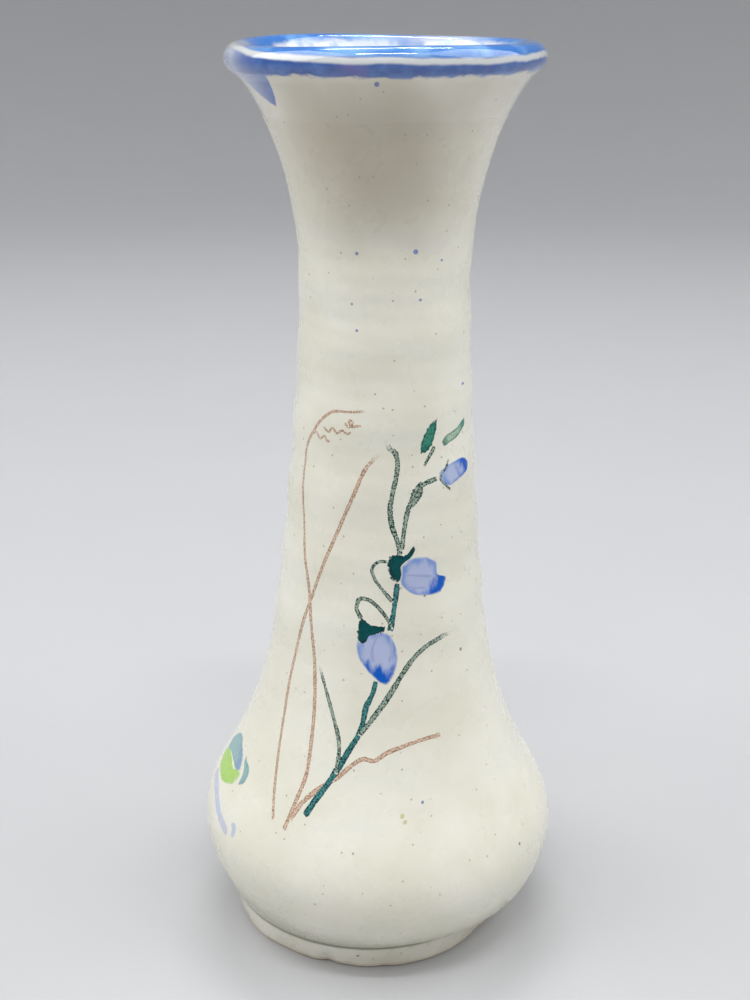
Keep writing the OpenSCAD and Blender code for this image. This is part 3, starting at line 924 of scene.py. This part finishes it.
def build_specks():
    """Spots of blue that dropped from the brush, and spots of iron in the glaze."""
    speck_blue = wash("speck_blue", (0.14, 0.19, 0.42), (0.18, 0.24, 0.46), (0.14, 0.19, 0.42), 0.85, rag=0.5)
    spots = [(-5.1, 144.4, 0.7), (5.3, 144.7, 1.0), (10, 142.7, 0.5), (6.3, 135.9, 0.6), (-5.1, 130.4, 0.6),
             (-1.6, 174, 1.0), (14.7, 118.5, 0.6), (-1.7, 118.8, 0.4), (8.6, 39.8, 0.7)]
    film_piece("blue_specks", [spot(*each) for each in spots], speck_blue, None)
    spots = [(4.6, 37.8, 1.0), (5.2, 36.8, 0.9), (-12.3, 20.5, 0.7)]
    ochre = wash("speck_ochre", (0.50, 0.47, 0.20), (0.55, 0.52, 0.28), (0.45, 0.42, 0.2), 0.7, rag=0.7)
    film_piece("ochre_specks", [spot(*each) for each in spots], ochre, None)


build_grasses()
build_stems()
build_flowers()
build_side_flower()
build_specks()

# ---- floor, light and camera ----

FLOOR_GREY, FLOOR_ROUGHNESS, FLOOR_SHADE = (0.50, 0.50, 0.51), 0.6, 0.97
# The floor is level up to BEND_FROM, then bends up through a quarter of a circle and ends at BACKDROP_TOP
BEND_FROM, BEND_RADIUS, BACKDROP_TOP = 0.9, 1.1, 1.6
FLOOR_SEGMENTS, BEND_SEGMENTS = 96, 16
COOL, NEUTRAL, WARM, SKY = (0.97, 0.985, 1.0), (1, 1, 1), (1.0, 0.985, 0.95), (0.92, 0.95, 1.0)
SKY_STRENGTH = 0.19
# Where the camera stands, and how far below level it looks
VIEW_DISTANCE, VIEW_HEIGHT, VIEW_SIDE = 1.467 * HEIGHT, 1.059 * HEIGHT, -1.1 * MM
VIEW_DOWN = math.radians(20.5)
LENS_MM = 50.6


def floor_material():
    """Matt grey with a faint cloudiness."""
    shader = Shader("pale_floor")
    shaded = tuple(FLOOR_SHADE * c for c in FLOOR_GREY)
    return shader.finish(shader.mix(shader.noise(40, 2), FLOOR_GREY, shaded), FLOOR_ROUGHNESS)


def build_floor():
    """A wide pale floor that curves up into a backdrop all round."""
    curve = [(0.01, 0.0), (0.3, 0.0), (BEND_FROM, 0.0)]
    for a in np.linspace(0, math.pi / 2, BEND_SEGMENTS + 1)[1:]:
        curve.append((BEND_FROM + BEND_RADIUS * math.sin(a), BEND_RADIUS * (1 - math.cos(a))))
    curve.append((BEND_FROM + BEND_RADIUS, BACKDROP_TOP))
    turn = np.linspace(0, 2 * math.pi, FLOOR_SEGMENTS, endpoint=False)
    vertices = [(r * math.cos(a), r * math.sin(a), z) for r, z in curve for a in turn]
    faces = ring_faces(len(curve), FLOOR_SEGMENTS) + [tuple(range(FLOOR_SEGMENTS))]
    mesh = bpy.data.meshes.new("floor")
    mesh.from_pydata(vertices, [], faces)
    mesh.shade_smooth()
    mesh.materials.append(floor_material())
    floor = bpy.data.objects.new("floor", mesh)
    bpy.context.scene.collection.objects.link(floor)


def add_light(name, place, aim, size, power, colour=NEUTRAL):
    """A rectangular light that the camera doesn't see. Its power is in watts."""
    data = bpy.data.lights.new(name, "AREA")
    data.shape = "RECTANGLE"
    data.size, data.size_y = size
    data.energy = power
    data.color = colour
    light = bpy.data.objects.new(name, data)
    bpy.context.scene.collection.objects.link(light)
    light.location = place
    light.rotation_euler = (Vector(aim) - Vector(place)).to_track_quat("-Z", "Y").to_euler()
    light.visible_camera = False


def build_lights():
    """A softbox on each side and one in front, and two strips whose gleams lie on the lip."""
    middle = (0, 0, 0.5 * HEIGHT)
    lip = (0, 0, HEIGHT)
    add_light("left_softbox", (-0.85, -0.05, 1.0), middle, (1.2, 1.0), 11.3, COOL)
    add_light("right_softbox", (0.85, -0.05, 1.0), middle, (1.2, 1.0), 10.2, COOL)
    add_light("front_softbox", (0.0, -0.9, 1.0), middle, (1.4, 0.8), 3.2, WARM)
    add_light("strip_front", (0.0, -0.33, HEIGHT + 0.75), lip, (0.45, 0.02), 2.5)
    add_light("strip_back", (0.0, 0.42, HEIGHT + 0.70), lip, (0.45, 0.02), 2.5)
    world = bpy.data.worlds.new("studio")
    world.use_nodes = True
    background = world.node_tree.nodes["Background"]
    background.inputs["Color"].default_value = (*SKY, 1)
    background.inputs["Strength"].default_value = SKY_STRENGTH
    bpy.context.scene.world = world
    bpy.context.scene.view_settings.view_transform = "Standard"


def build_camera():
    """The photo's view: from above the lip, a little left of the middle, and tipped down."""
    data = bpy.data.cameras.new("camera")
    data.lens = LENS_MM
    data.clip_start = 0.01
    camera = bpy.data.objects.new("camera", data)
    bpy.context.scene.collection.objects.link(camera)
    camera.location = (VIEW_SIDE, -VIEW_DISTANCE, VIEW_HEIGHT)
    camera.rotation_euler = (math.pi / 2 - VIEW_DOWN, 0, 0)
    bpy.context.scene.camera = camera


build_floor()
build_lights()
build_camera()
